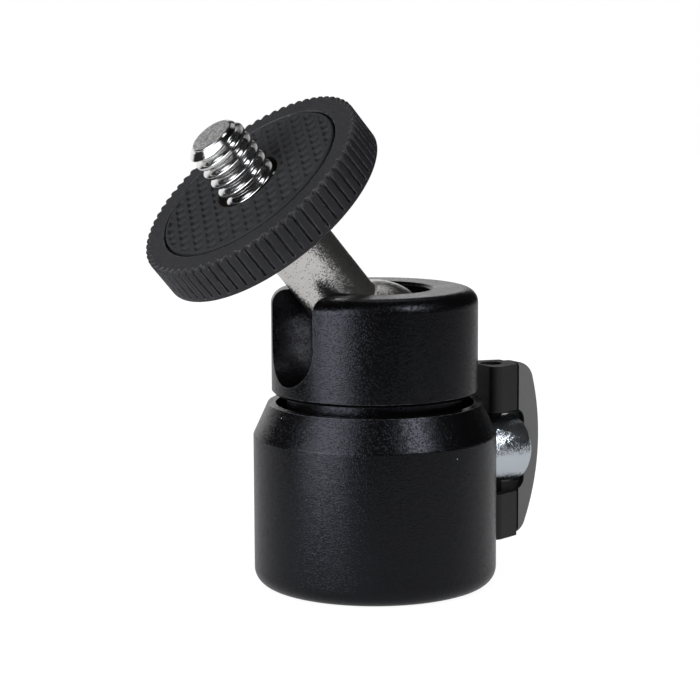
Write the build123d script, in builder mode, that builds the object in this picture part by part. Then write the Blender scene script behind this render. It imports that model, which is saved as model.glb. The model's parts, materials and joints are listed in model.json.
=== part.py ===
from build123d import *
import os
from math import cos, radians, sin, sqrt

# A small camera ball head. Millimetres, +Z up. The origin is the middle of the underside of the base.
# The lock knob points along +X, and the drop notch of the ball housing along -X.

# Fits and cuts that all pieces share
running_fit = 0.05          # radial play of a piece that turns or slides in another
thread_fit = 0.02           # radial play of a screwed or pressed joint
face_gap = 0.03             # play between the faces of pieces that press on each other
overrun = 2.0               # how far a cut runs past the face that it opens

# Base housing
base_diameter = 26.0
base_height = 19.6
base_shoulder_height = 16.2
base_shoulder_inset = 1.55  # from the side of the base to the rim on top of the cone
base_rim_width = 0.85
base_recess_depth = 2.2
base_wall_thickness = 3.55  # round the bore that takes the neck
base_floor_thickness = 7.2
base_edge_radius = 1.8
base_shoulder_radius = 0.4
tripod_thread_diameter = 6.35
tripod_thread_depth = 6.0
tripod_mouth_chamfer = 0.4
spot_face_depth = 0.7       # of the flat for the barrel of the lock screw, below the side of the base
spot_face_play = 0.45       # round the barrel

# Ball and its housing
neck_wall_thickness = 2.75  # between the bore that the ball goes up and the outside of the neck
ball_entry_play = 0.15      # radial play of the ball on its way up the neck
pan_gap = 1.05              # between the rim of the base and the ball housing
cap_inset = 0.45            # from the rim of the base to the side of the housing
cap_height = 11.15
cap_top_radius = 1.5
cap_low_chamfer = 0.35
ball_depth = 5.65           # from the top of the housing down to the middle of the ball
mouth_lip = 0.55            # how far the socket closes in over the ball
mouth_chamfer = 0.3
neck_stand_off = 0.9        # from the lower end of the neck to the floor of the base
groove_depth = 1.3
notch_play = 0.5            # on each side of the stem that lies in the notch

# Seat, piston and springs under the ball
seat_wall_below_ball = 1.4
seat_hole_share = 0.4       # of the width of the cup that the ball rests in
seat_stem_clearance = 0.35  # between the top of the seat and the stem when the stem lies level
spring_outer_play = 0.35
spring_width = 3.1          # from the hole to the outer edge
spring_thickness = 0.5
spring_cone_height = 0.35
piston_edge_chamfer = 0.3

# Stem and camera stud
rest_tilt = 41.1            # degrees from upright, towards the notch
stem_diameter = 7.2
stem_length = 19.0          # from the middle of the ball to the shoulder under the disc
stem_end_chamfer = 0.3
stud_diameter = 6.35
stud_reach = 10.85          # from the shoulder of the stem to the end of the stud
stud_depth = 7.0            # of the bore in the stem
stud_end_chamfer = 0.85
stud_runout_width = 0.7     # groove round the stud at the level of the pad, where the free thread stops
stud_runout_depth = 0.25

# Lock disc with its nut and pad
disc_diameter = 26.2
disc_thickness = 4.2
disc_rim_chamfer = 0.15
disc_stand_off = 0.05       # from the shoulder of the stem to the disc
serration_count = 72
serration_depth = 0.32
serration_width = 0.55      # across the notch, at the side of the disc
disc_rim_width = 2.4        # from the pocket of the pad to the side of the disc
pad_thickness = 1.0
pad_rise = 0.12             # how far the pad stands above the rim of the disc
runout_rise = 0.05          # how far the groove of the stud stands above the pad
pad_side_play = 0.26
pad_hole_play = 0.45
nut_diameter = 10.0

# Lock screw and its tip
lock_height = 12.9
lock_thread_diameter = 5.0
barrel_diameter = 7.4
barrel_stand_off = 0.3      # from the flat in the base to the barrel
barrel_length = 5.75
barrel_chamfer = 0.45
groove_lift = 0.15          # the groove lies this much above the screw, so that the screw pulls down
tip_end_diameter = 1.0
tip_diameter = 3.6
tip_shoulder_depth = 0.65   # from the bore of the base to the shoulder of the tip
tip_spigot_diameter = 2.0
tip_spigot_length = 2.2

# Wing knob
wing_stand_off = 0.7        # from the side of the base to the arms of the wing
wing_depth = 7.27           # from the arms' ends to the outermost point of the wing
wing_rise = 9.5             # from the screw's axis to the upper edge
wing_drop = 9.75            # from the screw's axis to the lower edge
wing_bow_lift = 1.25        # from the screw's axis to the height where the wing reaches furthest
wing_bow_radius = 26.35
wing_upper_corner_radius = 2.2
wing_lower_corner_radius = 2.0
wing_root_thickness = 6.0
wing_crease_thickness = 3.5
wing_blade_thickness = 2.7
wing_blade_width = 3.4
wing_edge_radius = 0.5
wing_arm_radius = 0.9       # of the upright edges at the ends of the arms
wing_crease_radius = 0.2    # of the edges where the arms step down to the blade
web_thickness = 1.2         # left between the two pockets round the barrel
web_play = 0.15             # between the barrel and the web
pocket_upper_play = 0.7     # from the barrel to the upper wall of a pocket
pocket_lower_play = 1.05
pocket_end_play = 0.4
pocket_corner_radius = 1.3
pin_diameter = 2.4
pin_offset = 1.4            # from the inner end of the barrel to the pin
pin_sink = 0.6              # from the edges of the wing to the ends of the pin

# Radii and heights that follow from the sizes above
base_radius = base_diameter / 2
rim_radius = base_radius - base_shoulder_inset
recess_radius = rim_radius - base_rim_width
recess_floor = base_height - base_recess_depth
bore_radius = base_radius - base_wall_thickness
neck_radius = bore_radius - running_fit
tripod_radius = tripod_thread_diameter / 2
barrel_radius = barrel_diameter / 2
spot_face = base_radius - spot_face_depth

neck_bore_radius = neck_radius - neck_wall_thickness
ball_radius = neck_bore_radius - ball_entry_play
socket_radius = ball_radius + running_fit
cap_radius = rim_radius - cap_inset
cap_low = base_height + pan_gap
cap_top = cap_low + cap_height
ball_height = cap_top - ball_depth
ball_centre = (0, 0, ball_height)
mouth_radius = socket_radius - mouth_lip
mouth_low = ball_height + sqrt(socket_radius**2 - mouth_radius**2)
neck_low = base_floor_thickness + neck_stand_off
groove_height = lock_height + groove_lift
groove_radius = neck_radius - groove_depth

stem_radius = stem_diameter / 2
notch_radius = stem_radius + notch_play
stud_radius = stud_diameter / 2
stem_foot = sqrt(ball_radius**2 - stem_radius**2)
stem_bore_floor = stem_length - stud_depth
stud_start = stem_bore_floor + face_gap
stud_end = stem_length + stud_reach
disc_low = stem_length + disc_stand_off
disc_top = disc_low + disc_thickness
pad_top = disc_top + pad_rise

# The stem leans in the XZ plane. Profiles drawn on this plane have the stem's axis as their Y axis.
lean = radians(rest_tilt)
stem_direction = (-sin(lean), 0, cos(lean))
stem_profile_plane = Plane(origin=ball_centre, x_dir=(cos(lean), 0, sin(lean)), z_dir=(0, -1, 0))
stem_axis = Axis(ball_centre, stem_direction)

os.makedirs("parts", exist_ok=True)

# Base housing: turned cup with a cone shoulder, bored for the neck, tapped below and in its side
with BuildPart() as base_housing:
    with BuildSketch(Plane.XZ):
        with BuildLine():
            Polyline(
                (0, 0),
                (base_radius, 0),
                (base_radius, base_shoulder_height),
                (rim_radius, base_height),
                (recess_radius, base_height),
                (recess_radius, recess_floor),
                (bore_radius, recess_floor),
                (bore_radius, base_floor_thickness),
                (0, base_floor_thickness),
                close=True,
            )
        make_face()
    revolve(axis=Axis.Z)
    outer_edges = base_housing.edges().filter_by(GeomType.CIRCLE).filter_by(
        lambda edge: abs(edge.radius - base_radius) < thread_fit
    )
    fillet(outer_edges.sort_by(Axis.Z)[0], base_edge_radius)
    shoulder_edge = base_housing.edges().filter_by(GeomType.CIRCLE).filter_by(
        lambda edge: abs(edge.radius - base_radius) < thread_fit
    )
    fillet(shoulder_edge.sort_by(Axis.Z)[-1], base_shoulder_radius)
    with BuildSketch(Plane.XY):
        Circle(tripod_radius)
    extrude(amount=tripod_thread_depth, mode=Mode.SUBTRACT)
    tripod_mouth = base_housing.edges().filter_by(GeomType.CIRCLE).filter_by(
        lambda edge: abs(edge.radius - tripod_radius) < thread_fit
    )
    chamfer(tripod_mouth.sort_by(Axis.Z)[0], tripod_mouth_chamfer)
    with BuildSketch(Plane.YZ):
        with Locations((0, lock_height)):
            Circle(lock_thread_diameter / 2)
    extrude(amount=base_radius + overrun, mode=Mode.SUBTRACT)
    with BuildSketch(Plane.YZ.offset(spot_face)):
        with Locations((0, lock_height)):
            Circle(barrel_radius + spot_face_play)
    extrude(amount=spot_face_depth + overrun, mode=Mode.SUBTRACT)
base_housing.part.label = "base_housing"
export_step(base_housing.part, "parts/base_housing.step")

# Ball housing: cap with the upper socket and the drop notch, on a neck that pans in the base
socket_middle = (socket_radius + mouth_radius) / 2
with BuildPart() as ball_housing:
    with BuildSketch(Plane.XZ):
        with BuildLine():
            Polyline(
                (mouth_radius, mouth_low),
                (mouth_radius, cap_top),
                (cap_radius, cap_top),
                (cap_radius, cap_low),
                (neck_radius, cap_low),
                (neck_radius, groove_height + groove_depth),
                (groove_radius, groove_height),
                (neck_radius, groove_height - groove_depth),
                (neck_radius, neck_low),
                (neck_bore_radius, neck_low),
                (neck_bore_radius, ball_height),
                (socket_radius, ball_height),
            )
            ThreePointArc(
                (socket_radius, ball_height),
                (socket_middle, ball_height + sqrt(socket_radius**2 - socket_middle**2)),
                (mouth_radius, mouth_low),
            )
        make_face()
    revolve(axis=Axis.Z)
    cap_edges = ball_housing.edges().filter_by(GeomType.CIRCLE).filter_by(
        lambda edge: abs(edge.radius - cap_radius) < thread_fit
    )
    fillet(cap_edges.sort_by(Axis.Z)[-1], cap_top_radius)
    low_edge = ball_housing.edges().filter_by(GeomType.CIRCLE).filter_by(
        lambda edge: abs(edge.radius - cap_radius) < thread_fit
    )
    chamfer(low_edge.sort_by(Axis.Z)[0], cap_low_chamfer)
    mouth_edges = ball_housing.edges().filter_by(GeomType.CIRCLE).filter_by(
        lambda edge: abs(edge.radius - mouth_radius) < thread_fit
    )
    chamfer(mouth_edges.sort_by(Axis.Z)[-1], mouth_chamfer)
    with BuildSketch(Plane.YZ):
        with Locations((0, ball_height)):
            Circle(notch_radius)
            Rectangle(2 * notch_radius, ball_depth + overrun, align=(Align.CENTER, Align.MIN))
    extrude(amount=-(cap_radius + overrun), mode=Mode.SUBTRACT)
ball_housing.part.label = "ball_housing"
export_step(ball_housing.part, "parts/ball_housing.step")

# Ball seat: nylon cup that carries the ball below the level of the lowered stem
cup_radius = ball_radius + face_gap
seat_radius = neck_bore_radius - running_fit
seat_drop = stem_radius + seat_stem_clearance
seat_top = ball_height - seat_drop
seat_low = ball_height - ball_radius - seat_wall_below_ball
cup_rim_radius = sqrt(cup_radius**2 - seat_drop**2)
seat_hole_radius = seat_hole_share * cup_rim_radius
cup_middle = (cup_rim_radius + seat_hole_radius) / 2
with BuildPart() as ball_seat:
    with BuildSketch(Plane.XZ):
        with BuildLine():
            Polyline(
                (seat_hole_radius, ball_height - sqrt(cup_radius**2 - seat_hole_radius**2)),
                (seat_hole_radius, seat_low),
                (seat_radius, seat_low),
                (seat_radius, seat_top),
                (cup_rim_radius, seat_top),
            )
            ThreePointArc(
                (cup_rim_radius, seat_top),
                (cup_middle, ball_height - sqrt(cup_radius**2 - cup_middle**2)),
                (seat_hole_radius, ball_height - sqrt(cup_radius**2 - seat_hole_radius**2)),
            )
        make_face()
    revolve(axis=Axis.Z)
ball_seat.part.label = "ball_seat"
export_step(ball_seat.part, "parts/ball_seat.step")

# Two disc springs stand on the floor of the base, inner edge down and outer edge down in turn
spring_outer = neck_bore_radius - spring_outer_play
spring_inner = spring_outer - spring_width
spring_height = spring_cone_height + spring_thickness
spring_middle = base_floor_thickness + spring_height + face_gap
with BuildPart() as disc_spring_lower:
    with BuildSketch(Plane.XZ):
        with BuildLine():
            Polyline(
                (spring_inner, base_floor_thickness),
                (spring_outer, base_floor_thickness + spring_cone_height),
                (spring_outer, base_floor_thickness + spring_height),
                (spring_inner, base_floor_thickness + spring_thickness),
                close=True,
            )
        make_face()
    revolve(axis=Axis.Z)
disc_spring_lower.part.label = "disc_spring_lower"
export_step(disc_spring_lower.part, "parts/disc_spring_lower.step")

with BuildPart() as disc_spring_upper:
    with BuildSketch(Plane.XZ):
        with BuildLine():
            Polyline(
                (spring_inner, spring_middle + spring_cone_height),
                (spring_outer, spring_middle),
                (spring_outer, spring_middle + spring_thickness),
                (spring_inner, spring_middle + spring_height),
                close=True,
            )
        make_face()
    revolve(axis=Axis.Z)
disc_spring_upper.part.label = "disc_spring_upper"
export_step(disc_spring_upper.part, "parts/disc_spring_upper.step")

# Seat piston: slug that slides in the neck and passes the springs' push on to the seat
piston_low = spring_middle + spring_height + face_gap
with BuildPart() as seat_piston:
    with BuildSketch(Plane.XY.offset(piston_low)):
        Circle(seat_radius)
    extrude(amount=seat_low - piston_low)
    chamfer(seat_piston.edges().filter_by(GeomType.CIRCLE), piston_edge_chamfer)
seat_piston.part.label = "seat_piston"
export_step(seat_piston.part, "parts/seat_piston.step")

# Ball and stem, turned in one piece and bored for the stud
with BuildPart() as ball_stem:
    with BuildSketch(stem_profile_plane):
        with BuildLine():
            ThreePointArc((0, -ball_radius), (ball_radius, 0), (stem_radius, stem_foot))
            Polyline(
                (stem_radius, stem_foot),
                (stem_radius, stem_length - stem_end_chamfer),
                (stem_radius - stem_end_chamfer, stem_length),
                (stud_radius, stem_length),
                (stud_radius, stem_bore_floor),
                (0, stem_bore_floor),
                (0, -ball_radius),
            )
        make_face()
    revolve(axis=stem_axis)
ball_stem.part.label = "ball_stem"
export_step(ball_stem.part, "parts/ball_stem.step")

# Camera stud: quarter inch screw that stands in the stem
stud_shank_radius = stud_radius - thread_fit
runout_radius = stud_shank_radius - stud_runout_depth
runout_top = pad_top + runout_rise
runout_low = runout_top - stud_runout_width
with BuildPart() as camera_stud:
    with BuildSketch(stem_profile_plane):
        with BuildLine():
            Polyline(
                (0, stud_start),
                (stud_shank_radius, stud_start),
                (stud_shank_radius, runout_low),
                (runout_radius, runout_low),
                (runout_radius, runout_top),
                (stud_shank_radius, runout_top),
                (stud_shank_radius, stud_end - stud_end_chamfer),
                (stud_shank_radius - stud_end_chamfer, stud_end),
                (0, stud_end),
                close=True,
            )
        make_face()
    revolve(axis=stem_axis)
camera_stud.part.label = "camera_stud"
export_step(camera_stud.part, "parts/camera_stud.step")

# Lock disc: serrated rim, bored for its nut and sunk for the pad
disc_radius = disc_diameter / 2
pad_pocket_radius = disc_radius - disc_rim_width
pad_radius = pad_pocket_radius - pad_side_play
pad_floor = pad_top - pad_thickness
nut_radius = nut_diameter / 2
nut_bore_radius = nut_radius + running_fit
disc_plane = Plane(
    origin=stem_profile_plane.from_local_coords((0, disc_low, 0)),
    x_dir=(0, 1, 0),
    z_dir=stem_direction,
)
with BuildPart() as lock_disc:
    with BuildSketch(stem_profile_plane):
        with BuildLine():
            Polyline(
                (nut_bore_radius, disc_low),
                (disc_radius - disc_rim_chamfer, disc_low),
                (disc_radius, disc_low + disc_rim_chamfer),
                (disc_radius, disc_top - disc_rim_chamfer),
                (disc_radius - disc_rim_chamfer, disc_top),
                (pad_pocket_radius, disc_top),
                (pad_pocket_radius, pad_floor),
                (nut_bore_radius, pad_floor),
                close=True,
            )
        make_face()
    revolve(axis=stem_axis)
    with BuildSketch(disc_plane):
        with PolarLocations(disc_radius, serration_count):
            Polygon(
                (-serration_depth, 0),
                (0, -serration_width / 2),
                (serration_depth, 0),
                (0, serration_width / 2),
            )
    extrude(amount=disc_thickness, mode=Mode.SUBTRACT)
lock_disc.part.label = "lock_disc"
export_step(lock_disc.part, "parts/lock_disc.step")

# Disc nut: brass bush with the thread, in the middle of the disc
with BuildPart() as disc_nut:
    with BuildSketch(disc_plane):
        Circle(nut_radius)
        Circle(stud_radius + thread_fit, mode=Mode.SUBTRACT)
    extrude(amount=pad_floor - disc_low)
disc_nut.part.label = "disc_nut"
export_step(disc_nut.part, "parts/disc_nut.step")

# Grip pad: rubber ring in the pocket of the disc
pad_plane = disc_plane.offset(pad_floor - disc_low)
with BuildPart() as grip_pad:
    with BuildSketch(pad_plane):
        Circle(pad_radius)
        Circle(stud_radius + pad_hole_play, mode=Mode.SUBTRACT)
    extrude(amount=pad_thickness)
grip_pad.part.label = "grip_pad"
export_step(grip_pad.part, "parts/grip_pad.step")

# Lock screw: threaded shank with a plain barrel head, bored for the tip and cross drilled for the pin
lock_axis = Axis((0, 0, lock_height), (1, 0, 0))
lock_profile_plane = Plane(origin=(0, 0, lock_height), x_dir=(1, 0, 0), z_dir=(0, -1, 0))
tip_end_radius = tip_end_diameter / 2
tip_radius = tip_diameter / 2
tip_start = groove_radius + tip_end_radius + groove_lift + running_fit
tip_shoulder = bore_radius + tip_shoulder_depth
spigot_radius = tip_spigot_diameter / 2
spigot_bore_radius = spigot_radius + running_fit
screw_start = tip_shoulder + face_gap
shank_radius = lock_thread_diameter / 2 - thread_fit
barrel_start = spot_face + barrel_stand_off
barrel_end = barrel_start + barrel_length
pin_radius = pin_diameter / 2
pin_place = barrel_start + pin_offset + pin_radius
with BuildPart() as lock_screw:
    with BuildSketch(lock_profile_plane):
        with BuildLine():
            Polyline(
                (screw_start, spigot_bore_radius),
                (screw_start, shank_radius),
                (barrel_start, shank_radius),
                (barrel_start, barrel_radius - barrel_chamfer),
                (barrel_start + barrel_chamfer, barrel_radius),
                (barrel_end - barrel_chamfer, barrel_radius),
                (barrel_end, barrel_radius - barrel_chamfer),
                (barrel_end, 0),
                (tip_shoulder + tip_spigot_length + face_gap, 0),
                (tip_shoulder + tip_spigot_length + face_gap, spigot_bore_radius),
                close=True,
            )
        make_face()
    revolve(axis=lock_axis)
    with BuildSketch(Plane.XY.offset(lock_height)):
        with Locations((pin_place, 0)):
            Circle(pin_radius + thread_fit)
    extrude(amount=barrel_radius + overrun, both=True, mode=Mode.SUBTRACT)
lock_screw.part.label = "lock_screw"
export_step(lock_screw.part, "parts/lock_screw.step")

# Screw tip: brass cone that presses the lower flank of the groove, on a spigot that swivels in the screw
with BuildPart() as screw_tip:
    with BuildSketch(lock_profile_plane):
        with BuildLine():
            Polyline(
                (tip_start, 0),
                (tip_start, tip_end_radius),
                (tip_shoulder, tip_radius),
                (tip_shoulder, spigot_radius),
                (tip_shoulder + tip_spigot_length, spigot_radius),
                (tip_shoulder + tip_spigot_length, 0),
                close=True,
            )
        make_face()
    revolve(axis=lock_axis)
screw_tip.part.label = "screw_tip"
export_step(screw_tip.part, "parts/screw_tip.step")

# Wing knob: bowed wing with thick arms and a thin blade, slotted for the barrel and drilled for the pin.
# Round the barrel a pocket in each side leaves a thin web.
wing_start = base_radius + wing_stand_off
wing_reach = wing_start + wing_depth
wing_crease = wing_reach - wing_blade_width
wing_middle_x = wing_reach - wing_bow_radius
wing_upper_x = wing_middle_x + sqrt(wing_bow_radius**2 - (wing_rise - wing_bow_lift) ** 2)
wing_lower_x = wing_middle_x + sqrt(wing_bow_radius**2 - (wing_drop + wing_bow_lift) ** 2)
pocket_high = barrel_radius + pocket_upper_play
pocket_low = -barrel_radius - pocket_lower_play
with BuildPart() as wing_knob:
    with BuildSketch(lock_profile_plane) as wing_outline:
        with BuildLine():
            Polyline(
                (wing_lower_x, -wing_drop),
                (wing_start, -wing_drop),
                (wing_start, wing_rise),
                (wing_upper_x, wing_rise),
            )
            ThreePointArc(
                (wing_upper_x, wing_rise),
                (wing_reach, wing_bow_lift),
                (wing_lower_x, -wing_drop),
            )
        make_face()
        fillet(wing_outline.vertices().sort_by(Axis.X)[-1], wing_upper_corner_radius)
        lower_corner = wing_outline.vertices().filter_by(
            lambda corner: abs(corner.X - wing_lower_x) < thread_fit
        )
        fillet(lower_corner, wing_lower_corner_radius)
    extrude(amount=wing_root_thickness, both=True)
    with BuildSketch(Plane.XY):
        with BuildLine():
            Polyline(
                (wing_start, -wing_root_thickness / 2),
                (wing_crease, -wing_crease_thickness / 2),
                (wing_crease, -wing_blade_thickness / 2),
                (wing_reach + overrun, -wing_blade_thickness / 2),
                (wing_reach + overrun, wing_blade_thickness / 2),
                (wing_crease, wing_blade_thickness / 2),
                (wing_crease, wing_crease_thickness / 2),
                (wing_start, wing_root_thickness / 2),
                close=True,
            )
        make_face()
    extrude(amount=lock_height + wing_rise + overrun, mode=Mode.INTERSECT)
    blade_edges = wing_knob.edges().filter_by(
        lambda edge: edge.center().X > wing_crease and abs(edge.center().Y) > wing_edge_radius
    )
    fillet(blade_edges, wing_edge_radius)
    upright_edges = wing_knob.edges().filter_by(Axis.Z)
    arm_edges = upright_edges.filter_by(lambda edge: edge.center().X < wing_start + thread_fit)
    fillet(arm_edges, wing_arm_radius)
    crease_edges = wing_knob.edges().filter_by(Axis.Z).filter_by(
        lambda edge: abs(abs(edge.center().Y) - wing_crease_thickness / 2) < thread_fit
    )
    fillet(crease_edges, wing_crease_radius)
    with BuildSketch(lock_profile_plane):
        with Locations((wing_start - overrun, 0)):
            Rectangle(
                barrel_end + web_play - wing_start + overrun,
                2 * (barrel_radius + web_play),
                align=(Align.MIN, Align.CENTER),
            )
    extrude(amount=wing_root_thickness, both=True, mode=Mode.SUBTRACT)
    near_side = lock_profile_plane.offset(web_thickness / 2)
    far_side = lock_profile_plane.offset(-web_thickness / 2 - wing_root_thickness)
    with BuildSketch(near_side, far_side) as pocket_outline:
        with Locations((wing_start - overrun, pocket_low)):
            Rectangle(
                barrel_end + pocket_end_play - wing_start + overrun,
                pocket_high - pocket_low,
                align=(Align.MIN, Align.MIN),
            )
        fillet(pocket_outline.vertices().group_by(Axis.X)[-1], pocket_corner_radius)
    extrude(amount=wing_root_thickness, mode=Mode.SUBTRACT)
    with BuildSketch(Plane.XY):
        with Locations((pin_place, 0)):
            Circle(pin_radius + thread_fit)
    extrude(amount=lock_height + wing_rise + overrun, mode=Mode.SUBTRACT)
wing_knob.part.label = "wing_knob"
export_step(wing_knob.part, "parts/wing_knob.step")

# Wing pin: steel pin through both arms of the wing and the barrel
pin_low = lock_height - wing_drop + pin_sink
pin_high = lock_height + wing_rise - pin_sink
with BuildPart() as wing_pin:
    with BuildSketch(Plane.XY.offset(pin_low)):
        with Locations((pin_place, 0)):
            Circle(pin_radius)
    extrude(amount=pin_high - pin_low)
wing_pin.part.label = "wing_pin"
export_step(wing_pin.part, "parts/wing_pin.step")
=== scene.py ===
import json
from math import cos, pi, radians, sin

import bpy
import numpy as np
from mathutils import Matrix, Vector


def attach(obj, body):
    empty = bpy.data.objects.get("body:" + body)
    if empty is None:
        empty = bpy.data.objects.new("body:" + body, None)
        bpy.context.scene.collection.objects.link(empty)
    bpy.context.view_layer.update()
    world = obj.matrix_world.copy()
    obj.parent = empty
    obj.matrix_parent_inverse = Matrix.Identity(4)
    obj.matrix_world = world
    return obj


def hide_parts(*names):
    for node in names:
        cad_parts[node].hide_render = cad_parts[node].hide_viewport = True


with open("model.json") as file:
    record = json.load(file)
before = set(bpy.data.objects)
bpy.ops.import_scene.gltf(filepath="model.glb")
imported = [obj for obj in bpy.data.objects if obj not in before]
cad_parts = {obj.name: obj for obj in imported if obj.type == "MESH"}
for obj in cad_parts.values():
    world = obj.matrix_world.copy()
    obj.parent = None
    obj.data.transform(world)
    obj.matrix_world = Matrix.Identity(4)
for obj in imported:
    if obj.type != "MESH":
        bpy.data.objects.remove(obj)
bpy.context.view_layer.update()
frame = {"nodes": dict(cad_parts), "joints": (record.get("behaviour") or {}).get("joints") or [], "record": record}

# A small camera ball head: threaded stud, serrated lock disc with a waffle pad, chromed stem and ball,
# black anodised ball housing and base, zinc plated lock screw with a black wing. Metres, +Z up.

mm = 0.001
scene = bpy.context.scene
joints = {joint["name"]: joint for joint in frame["joints"]}

# The stem's own axes: along it from the ball to the stud, across it in the notch's plane, and to the side
ball_centre = np.array(joints["ball_tilt"]["pos_m"])
stem_axis = np.array(joints["ball_spin"]["axis"])
side_axis = np.array((0.0, 1.0, 0.0))
cross_axis = np.cross(side_axis, stem_axis)
lock_axis = np.array(joints["lock_feed"]["axis"])
lock_centre = np.array((0.0, 0.0, joints["lock_turn"]["pos_m"][2]))
x_axis = np.array((1.0, 0.0, 0.0))
up_axis = np.array((0.0, 0.0, 1.0))

# Camera stud: quarter inch thread, 20 per inch
stud_start = 12.03 * mm         # along the stem, from the middle of the ball
stud_thread_start = 18.6 * mm   # below it the stud is hidden in the stem and left plain
stud_end = 29.85 * mm
stud_crest_radius = 3.13 * mm
stud_root_radius = 2.36 * mm
stud_pitch = 1.27 * mm
stud_end_radius = 2.3 * mm
stud_end_rounding = 0.12 * mm

# Stem and ball
ball_radius = 6.5 * mm
stem_radius = 3.6 * mm
stem_end = 19.0 * mm
stem_foot_rounding = 0.25 * mm
stem_edge = 0.3 * mm
ball_pole_gap = 0.02            # angle from the ball's pole to its first ring, closed by a fan

# Lock disc and pad, heights along the stem
disc_radius = 13.1 * mm
disc_low = 19.05 * mm
disc_top = 23.25 * mm
disc_edge = 0.15 * mm           # bevel along the rim
disc_bore_radius = 5.0 * mm
pocket_radius = 10.7 * mm
pocket_floor = 22.37 * mm
pocket_edge = 0.08 * mm
serration_count = 72
groove_depth = 0.35 * mm
flare_depth = 0.46 * mm         # of a groove where it opens on the top face
flare_height = 0.4 * mm
flare_reach = 3 * flare_depth   # inward from the rim, to where the top face is plain
lip_height = 0.42 * mm          # plain band below the grooves
lip_edge = 0.1 * mm
lip_ledge = 0.04 * mm           # height over which the grooves end on the plain band
pad_top = 23.37 * mm
pad_radius = 10.44 * mm
pad_hole_radius = 3.625 * mm
pad_edge_rounding = 0.16 * mm
waffle_pitch = 1.5 * mm
waffle_turn = radians(58.5)     # from the notch's plane
waffle_open_share = 0.62        # of the pitch that a pocket of the waffle is wide
waffle_slope_share = 0.1
waffle_depth = 0.26 * mm
waffle_border = 0.35 * mm       # plain ring at the outer edge and round the hole
waffle_fade = 0.2 * mm          # from the plain ring to pockets of full depth

# Lock screw, distances along its axis from the middle of the base
screw_start = 10.13 * mm
screw_crest_radius = 2.47 * mm
screw_root_radius = 2.05 * mm
screw_pitch = 0.8 * mm
barrel_start = 12.6 * mm
barrel_end = 18.35 * mm
barrel_radius = 3.7 * mm
barrel_edge = 0.45 * mm

# Wing: its blade lies beyond this distance along the lock screw
wing_crease = 17.57 * mm
crease_shade_width = 0.46 * mm         # painted shade: width of the blade's strip darkened as the shade of the step
web_half_thickness = 0.75 * mm

# Tripod thread under the base
tripod_radius = 3.172 * mm
tripod_minor_radius = 2.62 * mm
tripod_low = 0.45 * mm
tripod_top = 5.9 * mm
tripod_wall = 0.02 * mm         # of the sleeve, in the thread's root

sharp_angle = radians(38)       # edges that turn by more than this are shaded sharp


def put_mesh(name, points, faces, normals=None):
    """A mesh object at the origin from an array of points and lists of corners.

    It is shaded smooth, with the normals given for its points, or else smooth but for its sharp edges.
    """
    mesh = bpy.data.meshes.new(name)
    mesh.from_pydata(points.tolist(), [], faces)
    mesh.polygons.foreach_set("use_smooth", np.ones(len(faces), dtype=bool))
    if normals is None:
        mesh.set_sharp_from_angle(angle=sharp_angle)
    else:
        mesh.normals_split_custom_set_from_vertices(normals.tolist())
    mesh.update()
    piece = bpy.data.objects.new(name, mesh)
    scene.collection.objects.link(piece)
    return piece


def grid_quads(rows, columns, close_rows=False):
    """Corners of the quads of a grid whose columns close on themselves: row i to i + 1, column j to j + 1."""
    i, j = np.meshgrid(np.arange(rows if close_rows else rows - 1), np.arange(columns), indexing="ij")
    below, above = i * columns, (i + 1) % rows * columns
    beside = (j + 1) % columns
    return np.stack((below + j, below + beside, above + beside, above + j), axis=-1).reshape(-1, 4).tolist()


def end_fan(ring, pole):
    """Triangles from each pair of neighbours in a ring of corners to one pole."""
    return np.stack((np.full(len(ring), pole), ring, np.roll(ring, -1)), axis=-1).tolist()


def outward(turn, axis, first):
    """Unit directions away from an axis, by their turns from the first direction, right handed."""
    return np.cos(turn)[..., None] * first + np.sin(turn)[..., None] * np.cross(axis, first)


def turned_points(radius, along, turn, centre, axis, first):
    """Points at a radius from an axis, a distance along it, and a turn from the first direction."""
    out = outward(np.broadcast_to(turn, radius.shape), axis, first)
    return (centre + along[..., None] * axis + radius[..., None] * out).reshape(-1, 3)


def turned_ring(name, radius, along, turn, centre, axis, first):
    """A closed profile carried round an axis: radius and along are rows x columns, and both ways close."""
    points = turned_points(radius, along, turn, centre, axis, first)
    return put_mesh(name, points, grid_quads(*radius.shape, close_rows=True))


def turned_bar(name, radius, along, turn, centre, axis, first, normals=None):
    """An open profile carried round an axis, its two end rings closed by fans to a point on the axis."""
    rows, columns = radius.shape
    skin = turned_points(radius, along, turn, centre, axis, first)
    ends = centre + np.outer((along[0].mean(), along[-1].mean()), axis)
    ring = np.arange(columns)
    faces = grid_quads(rows, columns)
    faces += end_fan(ring[::-1], rows * columns)
    faces += end_fan(ring + (rows - 1) * columns, rows * columns + 1)
    return put_mesh(name, np.vstack((skin, ends)), faces, normals)


def carried(profile, turn):
    """A profile's values as rows, the same in every column of the turn."""
    return np.broadcast_to(np.asarray(profile)[:, None], (len(profile), len(turn)))


def thread_height(along, turn, pitch):
    """How far a screw thread stands up, from 0 in its root to 1 on its crest.

    The phase is what is left of (along - pitch x turns) / pitch. The height is 1 within half a crest of
    phase 1/2, falls along straight flanks, and a share of a smooth step rounds both ends of the flanks.
    """
    crest_share, flank_share = 0.26, 0.27
    round_share = 0.55
    phase = np.mod(along / pitch - turn / (2 * pi), 1)
    rise = np.clip((crest_share / 2 + flank_share - np.abs(phase - 0.5)) / flank_share, 0, 1)
    return (1 - round_share) * rise + round_share * rise * rise * (3 - 2 * rise)


def arc(start_angle, end_angle, steps):
    """Cosines and sines of the steps of an arc, as two arrays."""
    angle = np.linspace(start_angle, end_angle, steps)
    return np.cos(angle), np.sin(angle)


def full_turn(columns):
    """Equal turns round a full circle, the last one short of the first."""
    return np.arange(columns) * (2 * pi / columns)


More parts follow.
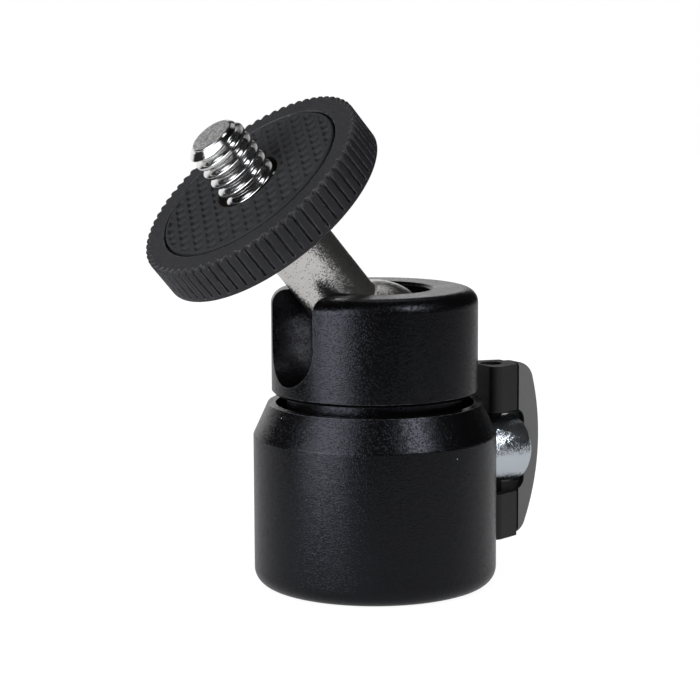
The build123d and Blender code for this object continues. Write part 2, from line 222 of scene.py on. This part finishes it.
def make_stud():
    """The camera stud: radius = root + depth x thread height, cut by a cone at the free end.

    The normals follow from the slopes of the radius along the stud and round it, so that the thread shines
    evenly, and they turn from outward to endward over the rounding of the free end.
    """
    columns, steps_a_pitch, rounding_steps = 180, 24, 6
    turn = full_turn(columns)
    step = stud_pitch / steps_a_pitch
    thread = np.arange(stud_thread_start, stud_end - stud_end_rounding, step)
    along = carried(np.concatenate(((stud_start, stud_thread_start - step), thread)), turn)
    depth = stud_crest_radius - stud_root_radius
    radius = stud_root_radius + depth * thread_height(along, turn, stud_pitch)
    radius[:2] = stud_root_radius
    radius = np.minimum(radius, stud_end_radius + (stud_end - along))
    slope_along = np.gradient(radius, along[:, 0], axis=0)
    ahead, behind = np.roll(radius, -1, axis=1), np.roll(radius, 1, axis=1)
    slope_round = (ahead - behind) / (2 * (turn[1] - turn[0])) / radius
    across, lift = arc(0, pi / 2, rounding_steps)
    out = outward(turn, stem_axis, cross_axis)
    round_way = np.cross(stem_axis, out)
    thread_normals = out - slope_along[..., None] * stem_axis - slope_round[..., None] * round_way
    end_normals = across[:, None, None] * out + lift[:, None, None] * stem_axis
    normals = np.vstack((thread_normals.reshape(-1, 3), end_normals.reshape(-1, 3), -stem_axis, stem_axis))
    normals = normals / np.linalg.norm(normals, axis=1, keepdims=True)
    radius = np.vstack((radius, carried(stud_end_radius - stud_end_rounding * (1 - across), turn)))
    along = np.vstack((along, carried(stud_end - stud_end_rounding * (1 - lift), turn)))
    return turned_bar("threaded_stud", radius, along, turn, ball_centre, stem_axis, cross_axis, normals)


def make_stem():
    """Ball and stem: half circle of the ball up to the stem's foot, a small hollow rounding, then the stem."""
    columns, ball_steps, foot_steps = 160, 72, 8
    turn = full_turn(columns)
    foot = np.sqrt((ball_radius + stem_foot_rounding) ** 2 - (stem_radius + stem_foot_rounding) ** 2)
    touch = np.arctan2(foot, stem_radius + stem_foot_rounding)
    ball_across, ball_lift = arc(-pi / 2 + ball_pole_gap, touch, ball_steps)
    foot_across, foot_lift = arc(pi + touch, pi, foot_steps)
    radius = np.concatenate((
        ball_radius * ball_across,
        stem_radius + stem_foot_rounding * (1 + foot_across),
        (stem_radius, stem_radius, stem_radius - stem_edge),
    ))
    along = np.concatenate((
        ball_radius * ball_lift,
        foot + stem_foot_rounding * foot_lift,
        ((foot + stem_end) / 2, stem_end - stem_edge, stem_end),
    ))
    return turned_bar("turned_stem", carried(radius, turn), carried(along, turn), turn, ball_centre, stem_axis,
                      cross_axis)


def make_disc():
    """The lock disc: a ring's profile carried round, whose rim goes in by a narrow groove at each serration.

    The cut is a depth times a share of the distance from the groove's middle. The share falls steeply to a
    softly broken edge along the rim, and gently where the groove opens on the top face, so that the lands
    end there in rounded knobs. Below the grooves a plain lip closes the rim.
    """
    half_pitch = pi * disc_radius / serration_count
    beside_shares = np.array((0.0, 0.13, 0.27, 0.36, 0.5, 0.66, 0.84))
    groove_shares = np.array((1.0, 0.86, 0.12, 0.05, 0.0, 0.0, 0.0))
    flare_shares = np.array((1.0, 0.93, 0.74, 0.58, 0.34, 0.13, 0.02))
    beside = beside_shares * half_pitch
    place = np.concatenate((-beside[:0:-1], beside, (half_pitch,)))
    turn = (full_turn(serration_count)[:, None] + place / disc_radius).ravel()
    groove = np.tile(groove_depth * np.interp(np.abs(place), beside, groove_shares), serration_count)
    flare = np.tile(flare_depth * np.interp(np.abs(place), beside, flare_shares), serration_count)
    plain = np.zeros_like(turn)
    inner = disc_radius - flare_reach
    rows = [
        (disc_bore_radius, disc_low, plain),
        (inner, disc_low, plain),
        (disc_radius - lip_edge, disc_low, plain),
        (disc_radius, disc_low + lip_edge, plain),
        (disc_radius, disc_low + lip_height, plain),
        (disc_radius, disc_low + lip_height + lip_ledge, groove),
        (disc_radius, disc_top - flare_height, groove),
        (disc_radius, disc_top - disc_edge, flare),
        (disc_radius - disc_edge, disc_top, flare),
        (inner, disc_top, plain),
        (pocket_radius + pocket_edge, disc_top, plain),
        (pocket_radius, disc_top - pocket_edge, plain),
        (pocket_radius, pocket_floor, plain),
        (disc_bore_radius, pocket_floor, plain),
    ]
    radius = np.array([reach - cut for reach, height, cut in rows])
    along = carried([height for reach, height, cut in rows], turn)
    return turned_ring("serrated_disc", radius, along, turn, ball_centre, stem_axis, cross_axis)


def make_pad():
    """The grip pad: a ring with rounded edges whose face is sunk in square pockets, as a waffle is.

    On the face the height is top - depth x p(a) x p(b), where a and b are the places in the waffle's own
    squares, and p is a smooth step from 0 on a rib to 1 in a pocket. It fades to nothing at both edges.
    """
    columns, edge_steps, face_steps = 600, 5, 76
    turn = full_turn(columns)
    across, lift = arc(0, pi / 2, edge_steps)
    face = np.linspace(pad_radius - pad_edge_rounding, pad_hole_radius + pad_edge_rounding, face_steps)
    radius = carried(np.concatenate((
        (pad_radius,),
        pad_radius - pad_edge_rounding * (1 - across),
        face[1:-1],
        pad_hole_radius + pad_edge_rounding * (1 - across[::-1]),
        (pad_hole_radius,),
    )), turn)
    along = carried(np.concatenate((
        (pocket_floor,),
        pad_top - pad_edge_rounding * (1 - lift),
        np.full(face_steps - 2, pad_top),
        pad_top - pad_edge_rounding * (1 - lift[::-1]),
        (pocket_floor,),
    )), turn)
    edge = np.minimum(pad_radius - radius, radius - pad_hole_radius)
    sunk = np.clip((edge - waffle_border) / waffle_fade, 0, 1)
    for direction in (waffle_turn, waffle_turn + pi / 2):
        place = np.mod(radius * np.cos(turn - direction) / waffle_pitch, 1)
        step = np.clip((waffle_open_share / 2 - np.abs(place - 0.5)) / waffle_slope_share + 0.5, 0, 1)
        sunk = sunk * step * step * (3 - 2 * step)
    along = along - waffle_depth * sunk
    return turned_ring("waffle_pad", radius, along, turn, ball_centre, stem_axis, cross_axis)


def make_lock_screw():
    """The lock screw: a thread, radius = root + depth x thread height, and a plain barrel with bevelled ends.

    Each end of the barrel goes in by shares of the bevel's size, and down by other shares of it.
    """
    columns, steps_a_pitch = 120, 14
    turn = full_turn(columns)
    along = carried(np.arange(screw_start, barrel_start, screw_pitch / steps_a_pitch), turn)
    depth = screw_crest_radius - screw_root_radius
    radius = screw_root_radius + depth * thread_height(along, turn, screw_pitch)
    down = np.array((1.0, 0.85, 0.12, 0.0)) * barrel_edge
    inward = np.array((0.0, 0.03, 0.85, 1.2)) * barrel_edge
    barrel_radii = np.concatenate(((screw_root_radius,), barrel_radius - down, barrel_radius - down[::-1]))
    barrel_along = np.concatenate(((barrel_start,), barrel_start + inward, barrel_end - inward[::-1]))
    radius = np.vstack((radius, carried(barrel_radii, turn)))
    along = np.vstack((along, carried(barrel_along, turn)))
    return turned_bar("barrel_screw", radius, along, turn, lock_centre, lock_axis, up_axis)


def make_tripod_thread():
    """The thread in the tripod hole: a thin sleeve whose inside goes in by depth x thread height."""
    columns, steps_a_pitch = 96, 14
    turn = full_turn(columns)
    along = carried(np.arange(tripod_top, tripod_low, -stud_pitch / steps_a_pitch), turn)
    depth = tripod_radius - tripod_minor_radius
    lead = np.clip((along - tripod_low) / stud_pitch, 0, 1)
    cut = (depth - tripod_wall) * lead * thread_height(along, turn, stud_pitch)
    radius = np.vstack((tripod_radius - tripod_wall - cut, carried((tripod_radius, tripod_radius), turn)))
    along = np.vstack((along, carried((tripod_low, tripod_top), turn)))
    return turned_ring("tripod_thread", radius, along, turn, np.zeros(3), up_axis, x_axis)


def add_node(tree, kind, feeds=(), **settings):
    """Adds a node. Each feed is a socket of it and a value, or the output of another node to link there."""
    node = tree.nodes.new(kind)
    for key, value in settings.items():
        setattr(node, key, value)
    for socket, value in feeds:
        if isinstance(value, bpy.types.NodeSocket):
            tree.links.new(value, node.inputs[socket])
        else:
            node.inputs[socket].default_value = value
    return node


def object_place(tree):
    """The place on the object, in its own coordinates."""
    return add_node(tree, "ShaderNodeTexCoord").outputs["Object"]


def plain_normal(tree):
    """The normal of the surface, without any bump."""
    return add_node(tree, "ShaderNodeNewGeometry").outputs["Normal"]


def number(tree, operation, *values):
    """The result of a sum, product or other operation on numbers."""
    return add_node(tree, "ShaderNodeMath", enumerate(values), operation=operation).outputs[0]


def dot(tree, first, second):
    """The dot product of two vectors."""
    feeds = [(0, first), (1, second)]
    return add_node(tree, "ShaderNodeVectorMath", feeds, operation="DOT_PRODUCT").outputs["Value"]


def ranged(tree, value, start, end, low=0.0, high=1.0, smooth=True):
    """A value carried from start and end to low and high, and held there, by a smooth step or straight."""
    feeds = [("Value", value), ("From Min", start), ("From Max", end), ("To Min", low), ("To Max", high)]
    kind = "SMOOTHSTEP" if smooth else "LINEAR"
    return add_node(tree, "ShaderNodeMapRange", feeds, interpolation_type=kind).outputs[0]


def mix_numbers(tree, factor, first, second):
    """The first number where the factor is 0, the second where it is 1."""
    feeds = [("Factor", factor), (2, first), (3, second)]
    return add_node(tree, "ShaderNodeMix", feeds, data_type="FLOAT").outputs[0]


def mix_colours(tree, factor, first, second):
    """The first colour where the factor is 0, the second where it is 1. A colour given as numbers has three."""
    feeds = [("Factor", factor)]
    for socket, colour in ((6, first), (7, second)):
        feeds.append((socket, (*colour, 1) if isinstance(colour, tuple) else colour))
    return add_node(tree, "ShaderNodeMix", feeds, data_type="RGBA").outputs[2]


def noise_pattern(tree, place, scale, **feeds):
    """Noise over the object, about 0.5."""
    named = [("Vector", place), ("Scale", scale), *feeds.items()]
    return add_node(tree, "ShaderNodeTexNoise", named).outputs[0]


def pick_cells(tree, place, scale, share):
    """A mask of chosen cells of a pattern, a share of them all, and the distance from each cell's middle."""
    cells = add_node(tree, "ShaderNodeTexVoronoi", [("Vector", place), ("Scale", scale)])
    lot = add_node(tree, "ShaderNodeSeparateColor", [("Color", cells.outputs["Color"])]).outputs[0]
    return number(tree, "LESS_THAN", lot, share), cells.outputs["Distance"]


def new_group(name, inputs, outputs):
    """An empty shader group with number inputs, outputs, and its two end nodes.

    An output named Normal is a vector, and the others are numbers.
    """
    group = bpy.data.node_groups.new(name, "ShaderNodeTree")
    for label in inputs:
        group.interface.new_socket(label, in_out="INPUT", socket_type="NodeSocketFloat")
    for label in outputs:
        kind = "NodeSocketVector" if label == "Normal" else "NodeSocketFloat"
        group.interface.new_socket(label, in_out="OUTPUT", socket_type=kind)
    return group, group.nodes.new("NodeGroupInput").outputs, group.nodes.new("NodeGroupOutput").inputs


def make_grain_group():
    """Grain of a blasted, plated or moulded skin: fine noise for height, and round pits or pips as a mask.

    A pip is 1 in the middle of a chosen cell, and falls to 0 by a smooth step.
    """
    pip_top, pip_foot = 0.15, 0.45      # distances from the cell's middle, in cells
    group, entry, result = new_group("skin_grain", ["Grain Size", "Pip Share"], ["Height", "Pips"])
    place = object_place(group)
    scale = number(group, "DIVIDE", 1.0, entry["Grain Size"])
    noise = noise_pattern(group, place, scale, Detail=1.5, Roughness=0.55)
    chosen, distance = pick_cells(group, place, scale, entry["Pip Share"])
    pips = number(group, "MULTIPLY", chosen, ranged(group, distance, pip_top, pip_foot, 1.0, 0.0))
    group.links.new(noise, result["Height"])
    group.links.new(pips, result["Pips"])
    return group


def make_handling_group():
    """Handling: slow noise for a change of tone, and the middles of a few chosen cells for specks of dust."""
    patch_size, dust_spacing = 4 * mm, 0.9 * mm
    speck_radius = 0.1                  # of the spacing
    tone_noise = 0.3, 0.7               # noise that is all of the first tone, and all of the second
    group, entry, result = new_group("handling", ["Dust Share"], ["Tone", "Dust"])
    place = object_place(group)
    noise = noise_pattern(group, place, 1 / patch_size, Detail=4.0, Roughness=0.6)
    chosen, distance = pick_cells(group, place, 1 / dust_spacing, entry["Dust Share"])
    near = number(group, "LESS_THAN", distance, speck_radius)
    group.links.new(ranged(group, noise, *tone_noise, smooth=False), result["Tone"])
    group.links.new(number(group, "MULTIPLY", chosen, near), result["Dust"])
    return group


def make_rings_group():
    """Tool marks of a turned piece: noise that changes only along the piece's axis, given as three numbers."""
    axis_labels = ["Along X", "Along Y", "Along Z"]
    group, entry, result = new_group("turning_rings", [*axis_labels, "Ring Width"], ["Height"])
    axis = add_node(group, "ShaderNodeCombineXYZ", enumerate(entry[label] for label in axis_labels)).outputs[0]
    count = number(group, "DIVIDE", dot(group, object_place(group), axis), entry["Ring Width"])
    noise = add_node(group, "ShaderNodeTexNoise", [("W", count), ("Scale", 1.0), ("Detail", 2.0)],
                     noise_dimensions="1D")
    group.links.new(noise.outputs[0], result["Height"])
    return group


def make_facet_group():
    """Small facets of a blasted or plated skin: each cell leans the normal its own way, by up to half the tilt."""
    group, entry, result = new_group("skin_facets", ["Cell Size", "Tilt"], ["Normal"])
    scale = number(group, "DIVIDE", 1.0, entry["Cell Size"])
    cells = add_node(group, "ShaderNodeTexVoronoi", [("Vector", object_place(group)), ("Scale", scale)])
    way = add_node(group, "ShaderNodeVectorMath", [(0, cells.outputs["Color"]), (1, (0.5, 0.5, 0.5))],
                   operation="SUBTRACT")
    lean = add_node(group, "ShaderNodeVectorMath", [(0, way.outputs[0]), ("Scale", entry["Tilt"])],
                    operation="SCALE")
    leant = add_node(group, "ShaderNodeVectorMath", [(0, plain_normal(group)), (1, lean.outputs[0])],
                     operation="ADD")
    unit = add_node(group, "ShaderNodeVectorMath", [(0, leant.outputs[0])], operation="NORMALIZE")
    group.links.new(unit.outputs[0], result["Normal"])
    return group


def make_edge_group():
    """Painted highlight along edges: where a rounded normal turns from the plain one, broken up by noise."""
    lit_edge_cosine, unlit_edge_cosine = 0.92, 0.995     # of the angle between the two normals
    patch_size = 0.7 * mm
    highlight_noise = 0.35, 0.6                      # noise that leaves an edge unlit, and that gives it the full painted highlight
    group, entry, result = new_group("painted_edge_highlight", ["Edge Width"], ["Edge"])
    rounded = add_node(group, "ShaderNodeBevel", [("Radius", entry["Edge Width"])], samples=4).outputs[0]
    alike = dot(group, rounded, plain_normal(group))
    sharp = ranged(group, alike, lit_edge_cosine, unlit_edge_cosine, 1.0, 0.0, smooth=False)
    noise = noise_pattern(group, object_place(group), 1 / patch_size, Detail=3.0)
    broken = ranged(group, noise, *highlight_noise, smooth=False)
    group.links.new(number(group, "MULTIPLY", sharp, broken), result["Edge"])
    return group


grain_group = make_grain_group()
facet_group = make_facet_group()
edge_group = make_edge_group()
handling_group = make_handling_group()
rings_group = make_rings_group()


def use_group(tree, group, **values):
    """Places a shared group in a material with its own values, named with _ for a space, for its outputs."""
    node = tree.nodes.new("ShaderNodeGroup")
    node.node_tree = group
    for label, value in values.items():
        node.inputs[label.replace("_", " ")].default_value = value
    return node.outputs


def add_blade(tree):
    """Masks of the wing's blade: its two broad faces beyond the crease, where a lighter sheen is painted, and
    their strip beside the crease, where shade is painted.
    """
    broad_cosine = 0.5
    spot = add_node(tree, "ShaderNodeSeparateXYZ", [(0, object_place(tree))]).outputs
    facing = add_node(tree, "ShaderNodeSeparateXYZ", [(0, plain_normal(tree))]).outputs
    off_web = number(tree, "GREATER_THAN", number(tree, "ABSOLUTE", spot["Y"]), web_half_thickness)
    broad = number(tree, "GREATER_THAN", number(tree, "ABSOLUTE", facing["Y"]), broad_cosine)
    face = number(tree, "MULTIPLY", off_web, broad)
    beyond = number(tree, "GREATER_THAN", spot["X"], wing_crease)
    beside = number(tree, "COMPARE", spot["X"], wing_crease + crease_shade_width / 2, crease_shade_width / 2)
    return number(tree, "MULTIPLY", face, beyond), number(tree, "MULTIPLY", face, beside)


dust_colour = (0.35, 0.35, 0.36)
# painted shade: near black for the blade's strip beside the crease
painted_crease_shade = (0.002, 0.002, 0.002)


def new_finish(name, colour, worn_colour, roughness, grain_size, grain_depth, pip_share=0.0, pip_depth=0.0,
               pit_colour=None, dust_share=0.0, ring_axis=None, ring_width=0.1 * mm, ring_depth=0.0,
               cell_size=0.15 * mm, tilt=0.0, edge_colour=None, edge_width=0.1 * mm, blade_colour=None,
               blade_roughness=0.5, **constants):
    """A material from the shared groups.

    The tone of handling mixes the two colours and moves the roughness between its two ends. Grain, pips and
    turning rings add up to one height, in metres, for the bump, on top of the leaning facets of the skin.
    A pit colour shows in the pips, and an edge colour along edges as a painted highlight. A blade colour shows on
    the wing's blade as a painted sheen, lighter than the plastic, with its own roughness, and its strip beside the
    crease is painted nearly black as shade and made metallic, so that it mirrors nothing. Constants go straight to
    the shader.
    """
    material = bpy.data.materials.new(name)
    material.use_nodes = True
    tree = material.node_tree
    shader = tree.nodes["Principled BSDF"].inputs
    for label, value in constants.items():
        shader[label.replace("_", " ")].default_value = value
    grain = use_group(tree, grain_group, Grain_Size=grain_size, Pip_Share=pip_share)
    handling = use_group(tree, handling_group, Dust_Share=dust_share)
    tone = mix_colours(tree, handling["Tone"], colour, worn_colour)
    tone = mix_colours(tree, handling["Dust"], tone, dust_colour)
    if pit_colour is not None:
        tone = mix_colours(tree, grain["Pips"], tone, pit_colour)
    rough = ranged(tree, handling["Tone"], 0.0, 1.0, *roughness, smooth=False)
    if blade_colour is not None:
        blade, strip = add_blade(tree)
        # painted sheen: the blade's broad faces get a lighter colour than the rest of the plastic
        tone = mix_colours(tree, blade, tone, blade_colour)
        rough = mix_numbers(tree, blade, rough, blade_roughness)
    if edge_colour is not None:
        # painted highlight: a lighter colour along edges
        edge_lit = use_group(tree, edge_group, Edge_Width=edge_width)
        tone = mix_colours(tree, edge_lit["Edge"], tone, edge_colour)
    if blade_colour is not None:
        # painted shade: the strip beside the crease is near black and metallic, so it mirrors nothing
        tone = mix_colours(tree, strip, tone, painted_crease_shade)
        tree.links.new(strip, shader["Metallic"])
    tree.links.new(tone, shader["Base Color"])
    tree.links.new(rough, shader["Roughness"])
    height = number(tree, "MULTIPLY", grain["Height"], grain_depth)
    height = number(tree, "MULTIPLY_ADD", grain["Pips"], pip_depth, height)
    if ring_axis is not None:
        rings = use_group(tree, rings_group, Along_X=ring_axis[0], Along_Y=ring_axis[1], Along_Z=ring_axis[2],
                          Ring_Width=ring_width)
        height = number(tree, "MULTIPLY_ADD", rings["Height"], ring_depth, height)
    facets = use_group(tree, facet_group, Cell_Size=cell_size, Tilt=tilt)
    bump = add_node(tree, "ShaderNodeBump", [("Strength", 1.0), ("Distance", 1.0), ("Height", height),
                                             ("Normal", facets["Normal"])])
    tree.links.new(bump.outputs[0], shader["Normal"])
    return material


# Each edge colour is a painted highlight along edges; the wing's blade colour is a painted sheen.
looks = {
    "black_anodised": dict(
        colour=(0.0012, 0.0012, 0.0014), worn_colour=(0.0018, 0.0018, 0.0021), roughness=(0.23, 0.28),
        grain_size=0.22 * mm, grain_depth=0.001 * mm, pip_share=1.0, pip_depth=0.0135 * mm, dust_share=0.006,
        cell_size=0.13 * mm, tilt=0.1, edge_colour=(0.07, 0.07, 0.074), edge_width=0.12 * mm,
        Specular_IOR_Level=0.29, Specular_Tint=(0.84, 0.86, 1.0, 1)),
    "satin_chrome": dict(
        colour=(0.82, 0.806, 0.782), worn_colour=(0.76, 0.746, 0.722), roughness=(0.19, 0.24),
        grain_size=0.22 * mm, grain_depth=0.001 * mm, pip_share=0.35, pip_depth=-0.003 * mm,
        pit_colour=(0.3, 0.295, 0.29), cell_size=0.1 * mm, tilt=0.2,
        ring_axis=stem_axis, ring_width=0.06 * mm, ring_depth=0.001 * mm, Metallic=1.0),
    "bright_steel": dict(
        colour=(0.82, 0.82, 0.81), worn_colour=(0.72, 0.72, 0.72), roughness=(0.09, 0.14),
        grain_size=0.3 * mm, grain_depth=0.002 * mm, cell_size=0.2 * mm, tilt=0.03, Metallic=1.0),
    "black_plastic": dict(
        colour=(0.0124, 0.0124, 0.0145), worn_colour=(0.0148, 0.0148, 0.017), roughness=(0.5, 0.6),
        grain_size=0.15 * mm, grain_depth=0.008 * mm, cell_size=0.14 * mm, tilt=0.12,
        edge_colour=(0.11, 0.11, 0.114), edge_width=0.11 * mm, Specular_IOR_Level=0.3),
    "pad_rubber": dict(
        colour=(0.0136, 0.0139, 0.0158), worn_colour=(0.018, 0.0184, 0.0203), roughness=(0.6, 0.7),
        grain_size=0.2 * mm, grain_depth=0.01 * mm, dust_share=0.02, cell_size=0.14 * mm, tilt=0.14,
        Specular_IOR_Level=0.25),
    "zinc_plate": dict(
        colour=(0.62, 0.68, 0.74), worn_colour=(0.68, 0.73, 0.78), roughness=(0.15, 0.2),
        grain_size=0.1 * mm, grain_depth=0.001 * mm, cell_size=0.07 * mm, tilt=0.34,
        ring_axis=lock_axis, ring_width=0.12 * mm, ring_depth=0.001 * mm, Metallic=1.0),
    "wing_plastic": dict(
        colour=(0.009, 0.009, 0.0094), worn_colour=(0.012, 0.012, 0.0124), roughness=(0.45, 0.53),
        grain_size=0.2 * mm, grain_depth=0.006 * mm, dust_share=0.01, cell_size=0.14 * mm, tilt=0.06,
        # blade colour: painted sheen, lighter than the wing's own plastic
        blade_colour=(0.128, 0.128, 0.126), blade_roughness=0.55, edge_colour=(0.06, 0.06, 0.06),
        Specular_IOR_Level=0.38),
    "brass": dict(
        colour=(0.72, 0.5, 0.2), worn_colour=(0.62, 0.42, 0.17), roughness=(0.2, 0.32),
        grain_size=0.15 * mm, grain_depth=0.008 * mm, ring_axis=stem_axis, ring_depth=0.003 * mm, Metallic=1.0),
    "white_nylon": dict(
        colour=(0.78, 0.77, 0.72), worn_colour=(0.7, 0.68, 0.62), roughness=(0.4, 0.5),
        grain_size=0.2 * mm, grain_depth=0.006 * mm),
    "plain_aluminium": dict(
        colour=(0.8, 0.8, 0.81), worn_colour=(0.72, 0.72, 0.73), roughness=(0.25, 0.35),
        grain_size=0.15 * mm, grain_depth=0.006 * mm, ring_axis=up_axis, ring_depth=0.004 * mm, Metallic=1.0),
    "spring_steel": dict(
        colour=(0.014, 0.0136, 0.013), worn_colour=(0.01, 0.0096, 0.0094), roughness=(0.5, 0.6),
        grain_size=0.2 * mm, grain_depth=0.006 * mm, Metallic=1.0),
}
finishes = {slot: new_finish(slot, **look) for slot, look in looks.items()}

pieces = [
    (make_stud(), "camera_stud", "bright_steel", "camera_stud"),
    (make_stem(), "ball_stem", "satin_chrome", "ball_stem"),
    (make_disc(), "lock_disc", "black_plastic", "lock_disc"),
    (make_pad(), "lock_disc", "pad_rubber", "grip_pad"),
    (make_lock_screw(), "lock_screw", "zinc_plate", "lock_screw"),
    (make_tripod_thread(), "base", "black_anodised", None),
]
for piece, body, slot, node in pieces:
    piece.data.materials.append(finishes[slot])
    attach(piece, body)
    if node:
        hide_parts(node)

for subpart in frame["record"]["subparts"]:
    node = frame["nodes"][subpart["node"]]
    node.data.materials.clear()
    node.data.materials.append(finishes[subpart["material_slot"]])

# Camera, fitted to the photograph's edges
view_turn = radians(-32.2)      # round the object, 0 looks along +Y
view_rise = radians(8.4)
view_roll = radians(-0.247)
view_distance = 261.5 * mm
view_aim = Vector((-2.223, 1.4, 25.127)) * mm
picture_pixels = 700
focal_pixels = 2455
view_right = Vector((cos(view_turn), sin(view_turn), 0))
view_back = Vector((sin(view_turn) * cos(view_rise), -cos(view_turn) * cos(view_rise), sin(view_rise)))
view_up = view_back.cross(view_right)
view_ahead = Vector((-sin(view_turn), cos(view_turn), 0))

camera_data = bpy.data.cameras.new("camera")
camera_data.sensor_width = 36.0
camera_data.lens = camera_data.sensor_width * focal_pixels / picture_pixels
camera_data.clip_start = 0.01
camera = bpy.data.objects.new("camera", camera_data)
rolled_right = view_right * cos(view_roll) + view_up * sin(view_roll)
rolled_up = view_up * cos(view_roll) - view_right * sin(view_roll)
camera.matrix_world = Matrix.Translation(view_aim + view_back * view_distance) @ Matrix(
    (rolled_right, rolled_up, view_back)).transposed().to_4x4()
scene.collection.objects.link(camera)
scene.camera = camera

light_aim = Vector((0, 0, 25 * mm))
light_distance = 0.6
softbox_core = 0.08             # half share of the panel's width or height that is fully bright


def add_softbox(name, turn, rise, width, height, brightness, colour):
    """A lit panel that faces the object, brightest in its middle and fading to its edges by a smooth step.

    Turn is to the right of the camera, and power = brightness x pi x area.
    """
    lamp = bpy.data.lights.new(name, "AREA")
    lamp.shape = "RECTANGLE"
    lamp.size = width
    lamp.size_y = height
    lamp.energy = brightness * pi * width * height
    lamp.color = colour
    lamp.use_nodes = True
    tree = lamp.node_tree
    panel_place = add_node(tree, "ShaderNodeNewGeometry").outputs["Parametric"]
    spot = add_node(tree, "ShaderNodeSeparateXYZ", [(0, panel_place)]).outputs
    fades = []
    for side in ("X", "Y"):
        reach = number(tree, "ABSOLUTE", number(tree, "SUBTRACT", spot[side], 0.5))
        fades.append(ranged(tree, reach, softbox_core, 0.5, 1.0, 0.0))
    tree.links.new(number(tree, "MULTIPLY", *fades), tree.nodes["Emission"].inputs["Strength"])
    out = (view_right * sin(turn) - view_ahead * cos(turn)) * cos(rise) + Vector(up_axis) * sin(rise)
    facing = out.to_track_quat("Z", "Y").to_matrix().to_4x4()
    softbox = bpy.data.objects.new(name, lamp)
    softbox.matrix_world = Matrix.Translation(light_aim + out * light_distance) @ facing
    softbox.visible_camera = False
    scene.collection.objects.link(softbox)


add_softbox("softbox_left", turn=radians(-49), rise=radians(13), width=0.76, height=1.12, brightness=5.8,
            colour=(0.95, 0.96, 1.0))
add_softbox("softbox_right", turn=radians(46), rise=radians(36), width=0.28, height=0.45, brightness=9.2,
            colour=(0.96, 0.97, 1.0))

# What mirrors see: a white backdrop behind the object, a weak glow high behind it, and a dark room in front
backdrop_ahead = (view_ahead * 0.94 - view_right * 0.34).normalized()
backdrop_cosines = 0.805, 0.93          # of the angles from its middle where it ends and where it is full
backdrop_sines = 0.75, 0.97             # of the heights where it begins to fade upward and where it has faded
room_level, backdrop_level = 0.02, 0.95
backdrop_top_share = 0.1
glow_rise = radians(58)
glow_cosines = cos(radians(22)), cos(radians(4))
glow_level = 0.5
even_level = 0.55                       # of the diffuse light from all sides


def make_world():
    """White to the camera. Mirrors see a white backdrop behind the object, fading to a dark room in front.

    A weak glow stands high behind. Diffuse light comes evenly from all sides.
    """
    world = bpy.data.worlds.new("studio")
    world.use_nodes = True
    tree = world.node_tree
    direction = add_node(tree, "ShaderNodeTexCoord").outputs["Generated"]
    high_behind = view_ahead * cos(glow_rise) + Vector(up_axis) * sin(glow_rise)
    wall = ranged(tree, dot(tree, direction, tuple(backdrop_ahead)), *backdrop_cosines, room_level, backdrop_level)
    rise = add_node(tree, "ShaderNodeSeparateXYZ", [(0, direction)]).outputs["Z"]
    low = ranged(tree, rise, *backdrop_sines, 1.0, backdrop_top_share)
    glow = ranged(tree, dot(tree, direction, tuple(high_behind)), *glow_cosines, 0.0, glow_level)
    mirrored = number(tree, "ADD", number(tree, "MULTIPLY", wall, low), glow)
    paths = add_node(tree, "ShaderNodeLightPath").outputs
    mirror = number(tree, "MAXIMUM", paths["Is Glossy Ray"], paths["Is Transmission Ray"])
    unseen = mix_numbers(tree, mirror, even_level, mirrored)
    seen = mix_numbers(tree, paths["Is Camera Ray"], unseen, 1.0)
    tree.links.new(seen, tree.nodes["Background"].inputs["Color"])
    scene.world = world


floor_radius = 0.4
floor_middle = np.array(view_ahead * 0.26 + view_right * 0.2)
floor_colour = (0.86, 0.86, 0.86)
floor_shown_colour = (0.2, 0.2, 0.2)    # to the camera and to mirrors, under the glow
floor_glow = 0.9                        # to the camera
floor_mirror_reach = 0.07, 0.14         # to the right of the object, where mirrors see it get darker
floor_mirror_levels = 0.42, 0.15


def make_floor():
    """A round pale floor: a flat disc of rings. To the camera it is white but for a faint shadow.

    Mirrors see it grey near the object and darker far to the right.
    """
    columns, ring_shares = 96, np.linspace(0.2, 1, 5)
    turn = full_turn(columns)
    rings = carried(ring_shares * floor_radius, turn)
    points = turned_points(rings, np.zeros_like(rings), turn, floor_middle, up_axis, x_axis)
    quads = [corners[::-1] for corners in grid_quads(*rings.shape)]
    fan = end_fan(np.arange(columns), len(points))
    floor = put_mesh("floor", np.vstack((points, floor_middle)), quads + fan)
    material = bpy.data.materials.new("pale_floor")
    material.use_nodes = True
    tree = material.node_tree
    shader = tree.nodes["Principled BSDF"].inputs
    shader["Roughness"].default_value = 0.9
    shader["Specular IOR Level"].default_value = 0.0
    shader["Emission Color"].default_value = (1, 1, 1, 1)
    paths = add_node(tree, "ShaderNodeLightPath").outputs
    shown = number(tree, "MAXIMUM", paths["Is Camera Ray"], paths["Is Glossy Ray"])
    aside = dot(tree, object_place(tree), tuple(view_right))
    mirrored = ranged(tree, aside, *floor_mirror_reach, *floor_mirror_levels)
    mirrored = number(tree, "MULTIPLY", paths["Is Glossy Ray"], mirrored)
    glow = number(tree, "MULTIPLY_ADD", paths["Is Camera Ray"], floor_glow, mirrored)
    tree.links.new(mix_colours(tree, shown, floor_colour, floor_shown_colour), shader["Base Color"])
    tree.links.new(glow, shader["Emission Strength"])
    floor.data.materials.append(material)


make_world()
make_floor()
scene.view_settings.view_transform = "Standard"
